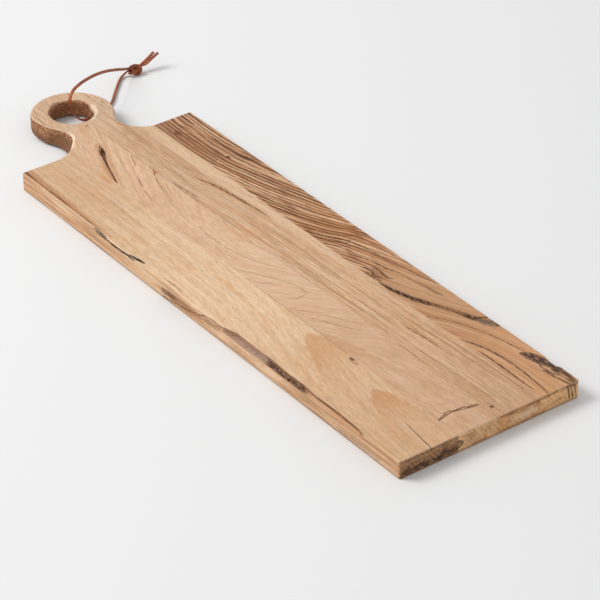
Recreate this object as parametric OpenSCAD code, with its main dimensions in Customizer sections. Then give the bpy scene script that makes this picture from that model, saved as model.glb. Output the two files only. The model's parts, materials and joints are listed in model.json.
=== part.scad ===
// Paddle serving board: four edge-glued wood staves with a ring handle and a knotted leather lace.
// Millimetres. +Y runs towards the handle and +Z up; the origin is under the middle of the wood.

/* [Staves] */
// Width of the left stave, which has the bark seam
left_stave_w = 64; // [40:0.5:110]
// Width of the stave left of the ring's middle
centre_left_w = 43.5; // [36:0.5:80]
// Width of the stave right of the ring's middle
centre_right_w = 50.5; // [44:0.5:90]
// Width of the right stave, which has the bark inclusion
right_stave_w = 45; // [30:0.5:110]
// Length of the staves from the front end to the shoulders
body_len = 597; // [350:1:900]
// Thickness of the staves
board_t = 19; // [14:0.5:40]
// Radius of the eased edges round the body
edge_ease = 1.5; // [0.5:0.1:4]
// Radius of the body's corners, seen from above
corner_r = 3; // [1:0.5:12]

/* [Handle] */
// Distance of the ring's centre beyond the shoulders
ring_reach = 71; // [66:0.5:90]
// Distance of the ring's centre to the right of the joint between the two centre staves
ring_shift = -1.5; // [-10:0.5:10]
// Outer radius of the ring
ring_r = 43; // [36:0.5:50]
// Radius of the hole in the ring
ring_hole_r = 22.5; // [18:0.5:28]
// Radius of the fillet between the ring and the left shoulder
left_fillet_r = 36; // [26:0.5:44]
// Radius of the fillet between the ring and the right shoulder
right_fillet_r = 29; // [22:0.5:36]
// Radius of the eased edges round the handle
handle_ease = 2.5; // [0.5:0.1:5]

/* [Natural marks] */
// Depth of the open checks in the upper face
check_depth = 3; // [1:0.5:8]
// Depth of the bark seam along the left upper edge
seam_depth = 4.5; // [2:0.5:9]
// Depth of the bark inclusion in the right stave
bark_depth = 1.2; // [0.5:0.1:4]
// Depth of the wane notch in the right edge, from the upper face
notch_depth = 8; // [3:0.5:12]

/* [Lace] */
// Width of the leather lace
lace_w = 3.2; // [2:0.1:4]
// Thickness of the leather lace
lace_t = 1.8; // [1.2:0.1:2.6]
// Clearance over and under the lace where it passes beneath the ring
lace_gap = 0.2; // [0.1:0.05:0.6]
// Length of the knot along the lace
knot_len = 15; // [10:0.5:20]
// Largest radius of the knot
knot_r = 5.4; // [4:0.1:5.5]

/* [Hidden] */

$fn = 96;
wood_tan = "#c8a076";
wood_light = "#cfa97f";
wood_pink = "#c69a72";
wood_brown = "#a87a4f";
leather = "#8a4a2c";

// Segments in the quarter circle of an eased edge
ease_steps = 4;
// How far a cutter or a strip runs past the wood that it cuts
past = 20;
// How far the neck's plates reach into the body and past each other
neck_lap = 12;
// How far the fillets bite into the ring, so that the two walls meet along a clean line
fillet_bite = 0.15;

// Joints between the staves, from left to right
board_w = left_stave_w + centre_left_w + centre_right_w + right_stave_w;
left_x = -board_w / 2;
joint_1 = left_x + left_stave_w;
joint_2 = joint_1 + centre_left_w;
joint_3 = joint_2 + centre_right_w;
right_x = joint_3 + right_stave_w;

// Stations along the board, from the front end to the far side of the ring
board_len = body_len + ring_reach + ring_r;
front_y = -board_len / 2;
shoulder_y = front_y + body_len;
ring_x = joint_2 + ring_shift;
ring_y = shoulder_y + ring_reach;

// The handle's underside clears the table, because the lace lies under the ring
handle_z = lace_t + 2 * lace_gap;
// A fillet of radius r: its centre, level with the neck's waist, and the height at which it runs into the ring
function fillet_y(r) = shoulder_y + r;
function fillet_dx(r) = sqrt(pow(ring_r + r - fillet_bite, 2) - pow(ring_reach - r, 2));
function fillet_top_y(r) = ring_y - (ring_reach - r) * ring_r / (ring_r + r);

// Points of an arc about [x, y]
function arc(x, y, r, from, to) =
    [for (i = [0:ease_steps]) let (a = from + (to - from) * i / ease_steps) [x + r * cos(a), y + r * sin(a)]];

// Rectangle from [x0, y0] to [x1, y1] with its corners rounded to r
function eased_rect(x0, y0, x1, y1, r) = concat(
    arc(x1 - r, y0 + r, r, -90, 0), arc(x1 - r, y1 - r, r, 0, 90),
    arc(x0 + r, y1 - r, r, 90, 180), arc(x0 + r, y0 + r, r, 180, 270));

// Half section of a disc of radius r from z0 to z1 with an eased rim
function disc_section(r, z0, z1, e) = concat(
    [[0, z0]], arc(r - e, z0 + e, e, -90, 0), arc(r - e, z1 - e, e, 0, 90), [[0, z1]]);

// Half section of a cutter of radius r whose two flares ease the edges of the hole that it cuts
function flare_section(r, z0, z1, e) = concat(
    [[0, z0 - past], [r + e, z0 - past]], arc(r + e, z0 + e, e, -90, -180),
    arc(r + e, z1 - e, e, 180, 90), [[r + e, z1 + past], [0, z1 + past]]);

// Outline of an open mark: a line of [x, y, half width] widened to both sides
function unit(v) = v / norm(v);
function heading(p, i) = unit([for (k = [0, 1])
    p[min(i + 1, len(p) - 1)][k] - p[max(i - 1, 0)][k]]);
function side(p, i, s) = let (h = heading(p, i)) [p[i][0] - s * h[1] * p[i][2], p[i][1] + s * h[0] * p[i][2]];
function mark_outline(p) = concat([for (i = [0:len(p) - 1]) side(p, i, 1)],
    [for (i = [len(p) - 1:-1:0]) side(p, i, -1)]);

// Marks as [x from the stave's left joint, y from the front end, half width].
// The head check's y runs back from the shoulders instead.
head_check = [[26, -7, 0.4], [20, -18, 2.4], [13, -34, 0.9], [7, -54, 0.5], [0, -73, 0.6]];
cross_check = [[-1, 27, 0.5], [10, 29, 0.6], [20, 31, 0.7], [29, 27, 0.6], [46, 25, 0.4]];
end_check = [[40, 44, 0.2], [37, 24, 0.4], [34, -1, 0.5]];
bark_line = [[-1, 229, 1.6], [4, 202, 2], [9, 187, 2.2], [21, 164, 2], [28, 148, 2.2], [31, 131, 2.4],
    [46, 122, 2]];
// Inner edge of the bark seam as [x from the left side, y from the front end]
seam_edge = [[0, 50], [2, 60], [3, 92], [2.4, 120], [4.2, 140], [3.4, 162], [4.8, 186], [4.2, 215],
    [4.6, 240], [0, 258]];
// The wane notch as [x from the right side, y from the front end]
notch_edge = [[0, 24], [-3, 28], [-3.2, 36], [-1.8, 43], [0, 48]];

// The lace's route about the ring's centre as [x, y, z, heading of the upright plane it bends in, twist].
// It leaves the knot, stands on its edge along the table, lies flat under the ring and rises through the
// hole to an arch.
flat_z = lace_t / 2 + lace_gap;
edge_z = lace_w / 2 + lace_gap;
loop_route = [[108.5, 58, 5, 40, 40], [102, 58.5, 3, 42, 70], [94, 54, 1.9, 45, 90], [85, 45, edge_z, 46, 90],
    [74, 33.5, edge_z, 46, 90], [64, 22.5, 1.8, 44, 85], [54, 14, 1.9, 34, 45], [43, 9, flat_z, 20, 0],
    [32, 6.5, flat_z, 12, 0], [22, 5.3, 1.2, 10, 0], [14.5, 4.3, 2.8, 14, 0], [9, 2, 7, 24, 0], [4, -1, 13, 30, 0],
    [-1, -3.7, 21, 30, 0], [-5, -6, 30.5, 30, 0], [-6.5, -7, 38, 30, 0], [-4.5, -6, 43, 30, 0],
    [1, -3, 46, 30, 12], [10, 2, 46.2, 30, 26], [22, 8.8, 44.5, 30, 34], [42, 20, 39.5, 30, 36],
    [64.5, 33.5, 30.5, 30, 36], [87, 47, 19, 30, 36], [101, 54.8, 11.5, 28, 24], [109, 58, 7.5, 24, 0]];
tail_upper_route = [[120, 57, 8.5, 5, 0], [127, 58, 9.5, 8, 0], [134, 59, 12.5, 8, 0], [141, 59.2, 17, 5, 0]];
tail_lower_route = [[120, 53.6, 7.8, 5, 0], [128, 54.7, 9.2, 4, 0], [136, 55.5, 12.6, 4, 0],
    [144.5, 55.9, 16.4, 4, 0]];
// Middle of the knot, about the ring's centre
knot_at = [114, 56];
// The knot's eye faces up and forwards, and its wrap leans across the lace, in degrees
eye_tilt = 25;
wrap_lean = 12;
// Radius of the doubled lace where it turns inside the knot, and of the strands that fill its wrap
bight_r = lace_t;
core_r = knot_r - 2 * bight_r + lace_gap;
// Rings of the lace's tube in each span of its route, and sides of the tube
span_rings = 3;
lace_sides = 8;

// Smooth curve through the points of a route, with n steps in each span
function spline_at(p, i, u) =
    let (a = p[max(i - 1, 0)], b = p[i], c = p[i + 1], d = p[min(i + 2, len(p) - 1)])
    0.5 * (2 * b + (c - a) * u + (2 * a - 5 * b + 4 * c - d) * u * u + (3 * b - a - 3 * c + d) * u * u * u);
function smooth_route(p, n) =
    concat([for (i = [0:len(p) - 2], k = [0:n - 1]) spline_at(p, i, k / n)], [p[len(p) - 1]]);

function place(q) = [q[0], q[1], q[2]];
function tangent(q, i) = unit(place(q[min(i + 1, len(q) - 1)]) - place(q[max(i - 1, 0)]));
function lace_ring(q, i) =
    let (t = tangent(q, i), level = [-sin(q[i][3]), cos(q[i][3]), 0], flat = unit(level - (level * t) * t),
        upright = cross(t, flat), across = flat * cos(q[i][4]) + upright * sin(q[i][4]), up = cross(t, across),
        k = 1 / cos(180 / lace_sides))
    [for (j = [0:lace_sides - 1]) let (a = 360 * (j + 0.5) / lace_sides)
        place(q[i]) + k * (across * cos(a) * lace_w / 2 + up * sin(a) * lace_t / 2)];

// Tube of the lace along a route, closed at both ends
module lace(route) {
    q = smooth_route(route, span_rings);
    m = lace_sides;
    last = len(q) - 1;
    points = concat([for (i = [0:last], p = lace_ring(q, i)) p], [place(q[0]), place(q[last])]);
    walls = [for (i = [0:last - 1], j = [0:m - 1]) let (a = i * m + j, b = i * m + (j + 1) % m)
        each [[a, a + m, b], [b, a + m, b + m]]];
    caps = [for (j = [0:m - 1]) let (n = (j + 1) % m)
        each [[m * (last + 1), j, n], [m * (last + 1) + 1, last * m + n, last * m + j]]];
    translate([ring_x, ring_y, 0]) polyhedron(points, concat(walls, caps));
}

// Body of the board with eased edges and rounded corners, before it is split into staves
module body_blank() {
    intersection() {
        translate([0, shoulder_y + past, 0]) rotate([90, 0, 0]) linear_extrude(body_len + 2 * past)
            polygon(eased_rect(left_x, 0, right_x, board_t, edge_ease));
        translate([left_x - past, 0, 0]) rotate([90, 0, 90]) linear_extrude(board_w + 2 * past)
            polygon(eased_rect(front_y, 0, shoulder_y, board_t, edge_ease));
        translate([0, 0, -past]) linear_extrude(board_t + 2 * past)
            polygon(eased_rect(left_x, front_y, right_x, shoulder_y, corner_r));
    }
}

// Plate between the shoulder and the ring on the left (s = -1) or the right (s = 1).
// A fillet of radius r cuts it back.
module neck_side(s, r) {
    plate_w = fillet_dx(r) + neck_lap;
    difference() {
        translate([ring_x + s * (plate_w / 2 - neck_lap) - plate_w / 2, shoulder_y - neck_lap, handle_z])
            cube([plate_w, fillet_top_y(r) - shoulder_y + neck_lap, board_t - handle_z]);
        translate([ring_x + s * fillet_dx(r), fillet_y(r), 0]) rotate_extrude()
            polygon(flare_section(r, handle_z, board_t, handle_ease));
    }
}

// Ring, neck and shoulder fillets, standing clear of the table
module handle_blank() {
    difference() {
        union() {
            translate([ring_x, ring_y, 0]) rotate_extrude()
                polygon(disc_section(ring_r, handle_z, board_t, handle_ease));
            neck_side(-1, left_fillet_r);
            neck_side(1, right_fillet_r);
        }
        translate([ring_x, ring_y, 0]) rotate_extrude()
            polygon(flare_section(ring_hole_r, handle_z, board_t, handle_ease));
    }
}

// Outline of an outer stave, from its side to its joint, which ends at the waist of a fillet of radius r
function outer_outline(x0, x1, r) = let (y0 = front_y - past)
    [[x0, y0], [x1, y0], [x1, fillet_y(r)], [x0, fillet_y(r)]];

// Outline of a centre stave, left (s = -1) or right (s = 1) of the middle joint.
// Beyond the waist of its fillet of radius r it takes in its whole side of the ring.
function centre_outline(outer_x, s, r) = let (y0 = front_y - past, y1 = ring_y + ring_r + past,
    rim_x = ring_x + s * (ring_r + past))
    [[joint_2, y0], [outer_x, y0], [outer_x, fillet_y(r)], [rim_x, fillet_y(r)], [rim_x, y1], [joint_2, y1]];

// The part of the board inside an outline
module stave(outline) {
    intersection() {
        union() {
            body_blank();
            handle_blank();
        }
        translate([0, 0, -past]) linear_extrude(board_t + 2 * past) polygon(outline);
    }
}

// An open mark cut into the upper face, with its line measured from x and y
module open_mark(line, x, y, depth) {
    translate([x, y, board_t - depth]) linear_extrude(depth + past) polygon(mark_outline(line));
}

module left_stave() {
    color(wood_tan) difference() {
        stave(outer_outline(left_x - past, joint_1, left_fillet_r));
        translate([left_x, front_y, board_t - seam_depth]) linear_extrude(seam_depth + past)
            polygon(concat([[-past, seam_edge[0][1]]], seam_edge,
                [[-past, seam_edge[len(seam_edge) - 1][1]]]));
        open_mark(end_check, left_x, front_y, check_depth);
    }
}

module centre_left_stave() {
    color(wood_light) difference() {
        stave(centre_outline(joint_1, -1, left_fillet_r));
        open_mark(head_check, joint_1, shoulder_y, check_depth);
        open_mark(cross_check, joint_1, front_y, check_depth);
    }
}

module centre_right_stave() {
    color(wood_pink) stave(centre_outline(joint_3, 1, right_fillet_r));
}

module right_stave() {
    color(wood_brown) difference() {
        stave(outer_outline(joint_3, right_x + past, right_fillet_r));
        open_mark(bark_line, joint_3, front_y, bark_depth);
        translate([right_x, front_y, board_t - notch_depth]) linear_extrude(notch_depth + past)
            polygon(concat([[past, notch_edge[0][1]]], notch_edge,
                [[past, notch_edge[len(notch_edge) - 1][1]]]));
    }
}

module thong_loop() {
    color(leather) lace(loop_route);
}

// A turn of the doubled lace, as a ring round the local z axis
module bight() {
    rotate_extrude() translate([knot_r - bight_r, 0]) circle(bight_r);
}

// The overhand knot: an eye where the doubled lace turns back, and a wrap that binds its own strands
module thong_knot() {
    eye_x = knot_r - knot_len / 2;
    wrap_x = knot_len / 2 - bight_r - (knot_r - bight_r) * sin(wrap_lean);
    core_x = eye_x + knot_r - bight_r;
    color(leather) translate([ring_x + knot_at[0], ring_y + knot_at[1], knot_r + lace_gap]) {
        translate([eye_x, 0, 0]) rotate([eye_tilt, 0, 0]) bight();
        translate([wrap_x, 0, 0]) rotate([0, 90, wrap_lean]) bight();
        translate([core_x, 0, 0]) rotate([0, 90, 0]) cylinder(h = knot_len / 2 - core_x, r = core_r);
    }
}

module thong_tail_upper() {
    color(leather) lace(tail_upper_route);
}

module thong_tail_lower() {
    color(leather) lace(tail_lower_route);
}

left_stave();
centre_left_stave();
centre_right_stave();
right_stave();
thong_loop();
thong_knot();
thong_tail_upper();
thong_tail_lower();
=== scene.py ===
# %% [markdown]
# # A paddle serving board
# Four wood staves are glued edge to edge and cut out with a ring handle. A leather lace is tied through the
# ring. The CAD frame gives each piece its size and place, so this lesson only dresses it: first the camera
# and the lace, then the wood of each stave, and last the floor and the light.

# %% Load the frame
import json
import math

import bmesh
import bpy
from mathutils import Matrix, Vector


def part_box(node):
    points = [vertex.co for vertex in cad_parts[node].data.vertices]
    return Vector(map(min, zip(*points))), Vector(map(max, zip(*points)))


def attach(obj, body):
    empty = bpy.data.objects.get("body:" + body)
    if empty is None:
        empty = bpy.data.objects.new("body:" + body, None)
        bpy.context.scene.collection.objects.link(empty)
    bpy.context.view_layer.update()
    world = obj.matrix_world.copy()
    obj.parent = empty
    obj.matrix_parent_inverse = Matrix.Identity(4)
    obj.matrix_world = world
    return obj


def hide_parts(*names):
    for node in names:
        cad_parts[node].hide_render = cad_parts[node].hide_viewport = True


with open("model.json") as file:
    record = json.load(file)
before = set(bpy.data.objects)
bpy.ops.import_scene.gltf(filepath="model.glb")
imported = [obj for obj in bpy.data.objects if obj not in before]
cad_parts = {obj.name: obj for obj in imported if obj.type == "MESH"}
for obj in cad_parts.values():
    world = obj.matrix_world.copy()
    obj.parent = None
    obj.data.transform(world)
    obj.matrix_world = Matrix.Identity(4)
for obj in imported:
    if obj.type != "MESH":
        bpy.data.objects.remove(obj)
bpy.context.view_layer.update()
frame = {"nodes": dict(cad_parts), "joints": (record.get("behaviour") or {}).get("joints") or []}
MM = 0.001
board_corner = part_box("left_stave")[0]
ring_centre = Vector(frame["joints"][0]["pos_m"])
print("nodes:", sorted(frame["nodes"]))

# %% [markdown]
# ## Camera
# The photograph looks down on the board from its front left, from far away, so that the long sides stay
# nearly parallel. A long lens at that distance gives the same flat perspective.

# %% Camera
CAMERA_FROM_CORNER = Vector((-1.2361, -1.5013, 1.4668))
LOOKS_DOWN = 33.44
TURNED_RIGHT = 36.97
SENSOR_WIDTH = 36
LENS = 171.5
camera = bpy.data.objects.new("camera", bpy.data.cameras.new("camera"))
camera.location = board_corner + CAMERA_FROM_CORNER
camera.rotation_euler = (math.radians(90 - LOOKS_DOWN), 0, -math.radians(TURNED_RIGHT))
camera.data.sensor_width = SENSOR_WIDTH
camera.data.lens = LENS
bpy.context.scene.collection.objects.link(camera)
bpy.context.scene.camera = camera
print("camera at", tuple(camera.location))

# %% [markdown]
# ## The leather lace: its route
# The lace is one strip of leather, 3.2 mm wide. It stands on its edge along the table, lies flat under the
# ring, comes up through the hole and arches back to an overhand knot tied in both strands at once. The
# route is a short list of points about the ring's centre, in millimetres, with the heading of the upright
# plane that the strip bends in and its twist, both in degrees. One smooth curve runs through tail, knot,
# loop, knot and tail, as the real strip does.

# %% Route of the lace
LACE_WIDTH = 3.2
LACE_THICKNESS = 1.8
LOOP = [
    (108.5, 58, 5, 40, 40), (102, 58.5, 3, 42, 42), (94, 54, 1.9, 45, 42), (85, 45, 1.8, 46, 42),
    (74, 33.5, 1.8, 46, 42), (64, 22.5, 1.8, 44, 42), (54, 14, 1.9, 34, 25), (43, 9, 1.1, 20, 0),
    (32, 6.5, 1.1, 12, 0), (22, 5.3, 1.2, 10, 0), (14.5, 4.3, 2.8, 14, 0), (9, 2, 7, 24, 0),
    (4, -1, 13, 30, 0), (-1, -3.7, 21, 30, 0), (-5, -6, 30.5, 30, 0), (-6.5, -7, 38, 30, 0),
    (-4.5, -6, 43, 30, 0), (1, -3, 46, 30, 12), (10, 2, 46.2, 30, 26), (22, 8.8, 44.5, 30, 34),
    (42, 20, 39.5, 30, 36), (64.5, 33.5, 30.5, 30, 36), (87, 47, 19, 30, 36), (101, 54.8, 11.5, 28, 24),
    (109, 58, 7.5, 24, 0),
]
TAIL_UPPER = [(127, 58, 9.5, 8, 0), (134, 59, 12.5, 8, 0), (141, 59.2, 17, 5, 0)]
TAIL_LOWER = [(128, 54.7, 9.2, 4, 0), (136, 55.5, 12.6, 4, 0), (144.5, 55.9, 16.4, 4, 0)]
print("points on the loop:", len(LOOP), "and on the tails:", len(TAIL_UPPER) + len(TAIL_LOWER))

# %% [markdown]
# ## The leather lace: its knot
# An overhand knot is drawn as a loop that crosses itself three times, over and under by turns. It is drawn
# here in a plane of its own, x along the lace, y across it and z towards the viewer, and then set down
# beside the ring. The two strands run side by side all the way through it.

# %% Overhand knot
KNOT_CENTRE = Vector((113.8, 55.8, 6.4))
KNOT_ALONG = Vector((0.92, -0.33, -0.20)).normalized()
knot_side = Vector((-0.07, -0.65, 0.75)).cross(KNOT_ALONG).normalized()
knot_face = KNOT_ALONG.cross(knot_side)
KNOT = [
    (-5.2, 0, 1.5), (-1.6, -1, 0.3), (1.2, -3.4, -1.7), (5, -3.8, -0.6), (6.4, -0.6, 1.6),
    (4.4, 2.6, 1.8), (0.2, 3.6, 0.9), (-3.6, 3, -0.8), (-0.9, 1.3, -2.4), (-5.4, -4, -0.4),
    (-0.8, -3.8, 1.7), (2.8, -0.7, 0.4), (1.9, 2.2, -2.4), (4.8, 1, -2.4), (7, 4.6, -1),
]
STRAND_OFFSET = 0.95


def knot_point(index, offset):
    """A point of one strand in the knot: the knot's line moved sideways by offset."""
    before, here, after = (Vector(KNOT[max(0, min(len(KNOT) - 1, index + k))]) for k in (-1, 0, 1))
    heading = (after - before).normalized()
    moved = here + Vector((-heading.y, heading.x, 0)) * offset
    return KNOT_CENTRE + KNOT_ALONG * moved.x + knot_side * moved.y + knot_face * moved.z


# A stretch of the route is two lists: its places, and the strip's level direction and twist at each place.
def free_stretch(points):
    """A run of the route outside the knot."""
    turns = [math.radians(p[3]) for p in points]
    levels = [Vector((-math.sin(turn), math.cos(turn), 0)) for turn in turns]
    twists = [math.radians(p[4]) for p in points]
    return [Vector(p[:3]) for p in points], list(zip(levels, twists))


def knot_stretch(offset):
    """One strand's way through the knot, with its broad side to the knot's face."""
    return [knot_point(k, offset) for k in range(len(KNOT))], [(knot_face, 0)] * len(KNOT)


# The loop's first and last points lie inside the knot, where the knot's own turns take over.
stretches = [free_stretch(TAIL_LOWER[::-1]), [part[::-1] for part in knot_stretch(-STRAND_OFFSET)],
             free_stretch(LOOP[1:-1]), knot_stretch(STRAND_OFFSET), free_stretch(TAIL_UPPER)]
lace_places = [place for places, poses in stretches for place in places]
lace_poses = [pose for places, poses in stretches for pose in poses]
knot_in = len(TAIL_LOWER) + len(KNOT) - 1
knot_out = knot_in + len(LOOP) - 1
print("points on the lace:", len(lace_places))

# %% [markdown]
# ## The leather lace: its tube
# A curve object could carry a bevel, but a flat strip has to keep its broad side turned the right way. So
# rings of a rounded rectangle are placed along the smooth curve, each square to it, and joined into one
# skin. An attribute marks the cut edges of the strip, which soak up more dye than its faces.

# %% Tube of the lace
STEPS = 5
SIDES = 16
SQUARENESS = 0.42


def smooth(values, span, u):
    """Catmull-Rom curve through a list of vectors."""
    a, b, c, d = (values[max(0, min(len(values) - 1, span + k))] for k in (-1, 0, 1, 2))
    start = 2 * b + (c - a) * u
    return 0.5 * (start + (2 * a - 5 * b + 4 * c - d) * u * u + (3 * b - a - 3 * c + d) * u ** 3)


def strip_widths(places, poses):
    """Direction of the strip's width at each point of the route."""
    widths = []
    for i, (level, twist) in enumerate(poses):
        ahead = (places[min(i + 1, len(places) - 1)] - places[max(i - 1, 0)]).normalized()
        flat = (level - ahead * level.dot(ahead)).normalized()
        width = flat * math.cos(twist) + ahead.cross(flat) * math.sin(twist)
        widths.append(-width if widths and width.dot(widths[-1]) < 0 else width)
    return widths


def lace_rings(places, widths):
    """Places along the smooth route, with the direction of the strip's width at each."""
    stations = [(span, step / STEPS) for span in range(len(places) - 1) for step in range(STEPS)]
    stations.append((len(places) - 2, 1))
    return [(ring_centre + smooth(places, *s) * MM, smooth(widths, *s)) for s in stations]


def lace_section():
    """Corner-rounded section of the strip as (across, up, cut edge)."""
    for k in range(SIDES):
        angle = 2 * math.pi * (k + 0.5) / SIDES
        across, up = (math.copysign(abs(v) ** SQUARENESS, v) for v in (math.cos(angle), math.sin(angle)))
        yield across * LACE_WIDTH / 2 * MM, up * LACE_THICKNESS / 2 * MM, abs(across) ** 8


def new_object(name, bm):
    """Turns a finished bmesh into an object of the scene."""
    mesh = bpy.data.meshes.new(name)
    bm.to_mesh(mesh)
    bm.free()
    piece = bpy.data.objects.new(name, mesh)
    bpy.context.scene.collection.objects.link(piece)
    return piece


def lace_piece(name, rings):
    """A closed skin over a run of rings."""
    bm = bmesh.new()
    edge = bm.verts.layers.float.new("cut_edge")
    loops = []
    for i, (place, width) in enumerate(rings):
        ahead = (rings[min(i + 1, len(rings) - 1)][0] - rings[max(i - 1, 0)][0]).normalized()
        across = (width - ahead * width.dot(ahead)).normalized()
        up = ahead.cross(across)
        loop = []
        for x, z, cut in lace_section():
            vert = bm.verts.new(place + across * x + up * z)
            vert[edge] = cut
            loop.append(vert)
        loops.append(loop)
    for near, far in zip(loops, loops[1:]):
        for k in range(SIDES):
            n = (k + 1) % SIDES
            bm.faces.new((near[k], near[n], far[n], far[k])).smooth = True
    bm.faces.new(list(reversed(loops[0])))
    bm.faces.new(loops[-1])
    bmesh.ops.recalc_face_normals(bm, faces=bm.faces)
    piece = new_object(name, bm)
    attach(piece, "thong")
    return piece


rings = lace_rings(lace_places, strip_widths(lace_places, lace_poses))
loop_rings = rings[STEPS * knot_in:STEPS * knot_out + 1]
lace_loop = lace_piece("lace_loop", loop_rings)
lace_end_lower = lace_piece("lace_end_lower", rings[:STEPS * knot_in + 1])
lace_end_upper = lace_piece("lace_end_upper", rings[STEPS * knot_out:])
lace_pieces = [lace_loop, lace_end_lower, lace_end_upper]
print("lowest point of the lace:", min(v.co.z for piece in lace_pieces for v in piece.data.vertices) / MM)

# %% [markdown]
# ## The leather lace: its length
# A real lace can be pulled straight and measured. The loop between its two ends in the knot is measured along
# the smooth route, and the CAD pieces of the lace are hidden, as the tube takes their place.

loop_path = [place for place, width in loop_rings]
loop_length = sum((b - a).length for a, b in zip(loop_path, loop_path[1:]))
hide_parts("thong_loop")
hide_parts("thong_tail_lower")
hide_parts("thong_tail_upper", "thong_knot")
print("loop", loop_length, "whole lace", sum((b[0] - a[0]).length for a, b in zip(rings, rings[1:])))

# %% [markdown]
# ## Helpers for materials
# A material is a tree of nodes. These short functions add a node, feed its sockets with a number or with
# another socket, and hand back its output, so that a finish reads like a recipe further down.

# %% Node helpers


def paint(code):
    """A colour written as in a paint program, made linear for the shader."""
    parts = [int(code[k:k + 2], 16) / 255 for k in (1, 3, 5)]
    return tuple(c / 12.92 if c <= 0.04045 else ((c + 0.055) / 1.055) ** 2.4 for c in parts) + (1,)


def feed(socket, value):
    """Gives a socket a link, a colour code or a number."""
    if isinstance(value, bpy.types.NodeSocket):
        socket.id_data.links.new(value, socket)
    else:
        socket.default_value = paint(value) if isinstance(value, str) else value


def add(tree, kind, inputs=(), **settings):
    """A new node with its inputs fed."""
    node = tree.nodes.new("ShaderNode" + kind)
    for name, value in settings.items():
        setattr(node, name, value)
    for key, value in dict(inputs).items():
        feed(node.inputs[key], value)
    return node


def tree_of(*values):
    """The node tree that the first socket among the values belongs to."""
    return next(value.id_data for value in values if isinstance(value, bpy.types.NodeSocket))


def calc(operation, *values):
    """One step of arithmetic."""
    node = add(tree_of(*values), "Math", operation=operation)
    for socket, value in zip(node.inputs, values):
        feed(socket, value)
    return node.outputs[0]


def times(first, second):
    """The product of two values, or the place where two masks overlap."""
    return calc("MULTIPLY", first, second)


def fade(value, low, high, start=0, end=1):
    """A soft step: start below low, end above high."""
    limits = {"Value": value, "From Min": low, "From Max": high, "To Min": start, "To Max": end}
    return add(tree_of(value), "MapRange", limits, interpolation_type="SMOOTHSTEP").outputs["Result"]


def spread(value, low, high, start, end):
    """A straight change of range, held at its ends."""
    limits = {"Value": value, "From Min": low, "From Max": high, "To Min": start, "To Max": end}
    return add(tree_of(value), "MapRange", limits).outputs["Result"]


def tint(amount, under, over, blend="MIX"):
    """One colour laid over another."""
    node = add(tree_of(amount, under, over), "Mix", data_type="RGBA", blend_type=blend)
    for socket, value in zip((node.inputs[0], node.inputs[6], node.inputs[7]), (amount, under, over)):
        feed(socket, value)
    return node.outputs[2]


def vector(x, y, z):
    """Three values joined to one vector."""
    return add(tree_of(x, y, z), "CombineXYZ", {"X": x, "Y": y, "Z": z}).outputs[0]


def scaled(*parts):
    """A vector whose parts are numbers or (socket, factor) pairs."""
    return vector(*(times(*part) if isinstance(part, tuple) else part for part in parts))


def noise(place, detail=3, roughness=0.55):
    """Cloudy noise between 0 and 1, one lump to a unit of place."""
    inputs = {"Vector": place, "Scale": 1, "Detail": detail, "Roughness": roughness}
    return add(tree_of(place), "TexNoise", inputs).outputs["Fac"]


def curve(value, points):
    """A curve drawn through given (in, out) points, both from 0 to 1."""
    node = add(tree_of(value), "FloatCurve", {"Value": value})
    line = node.mapping.curves[0]
    for k, (x, y) in enumerate(points):
        if k < 2:
            line.points[k].location = (x, y)
        else:
            line.points.new(x, y)
    node.mapping.update()
    return node.outputs[0]


def drawn(value, points):
    """A curve through (in, out) points in real units."""
    points = sorted(points)
    (x0, _), (x1, _) = points[0], points[-1]
    y0 = min(y for _, y in points)
    y1 = max(y for _, y in points) + 1e-6
    unit = [((x - x0) / (x1 - x0), (y - y0) / (y1 - y0)) for x, y in points]
    ends = [unit[0], unit[-1]] + unit[1:-1]
    return spread(curve(spread(value, x0, x1, 0, 1), ends), 0, 1, y0, y1)


def new_group(name, inputs, outputs):
    """An empty node group with its inputs and outputs."""
    tree = bpy.data.node_groups.new(name, "ShaderNodeTree")
    for names, way in ((inputs, "INPUT"), (outputs, "OUTPUT")):
        for socket in names:
            tree.interface.new_socket(name=socket, in_out=way, socket_type="NodeSocketFloat")
    return tree, tree.nodes.new("NodeGroupInput").outputs, tree.nodes.new("NodeGroupOutput").inputs


def use_group(tree, group, **inputs):
    """The outputs of a group, fed by name."""
    node = tree.nodes.new("ShaderNodeGroup")
    node.node_tree = group
    for name, value in inputs.items():
        feed(node.inputs[name.replace("_", " ")], value)
    return node.outputs


print("middle grey in linear light:", paint("#808080")[0])

# %% [markdown]
# ## Where on the board
# Every wood pattern is drawn in one set of coordinates, in millimetres from the left front corner of the
# underside: across the staves, along them, and up through the thickness. Then the grain runs on round the
# edges and over the ends, as it does in solid wood. The group also tells which way the surface faces.

# %% Group: place on the board
place_group, _, out = new_group("Place on the board", [],
                                ["Across", "Along", "Up", "Wall", "Left", "Front", "Arris"])
spot = add(place_group, "TexCoord").outputs
from_corner = add(place_group, "VectorMath", {0: spot["Object"], 1: board_corner},
                  operation="SUBTRACT").outputs[0]
axes = add(place_group, "SeparateXYZ", {0: from_corner}).outputs
facing = add(place_group, "SeparateXYZ", {0: spot["Normal"]}).outputs
for name, axis in (("Across", 0), ("Along", 1), ("Up", 2)):
    feed(out[name], times(axes[axis], 1 / MM))
feed(out["Wall"], fade(calc("ABSOLUTE", facing[2]), 0.8, 0.3))
feed(out["Left"], fade(facing[0], -0.4, -0.8))
feed(out["Front"], fade(facing[1], -0.4, -0.8))
feed(out["Arris"], times(fade(facing[2], 0.1, 0.4), fade(facing[2], 0.995, 0.9)))
print("group:", place_group.name)

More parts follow.
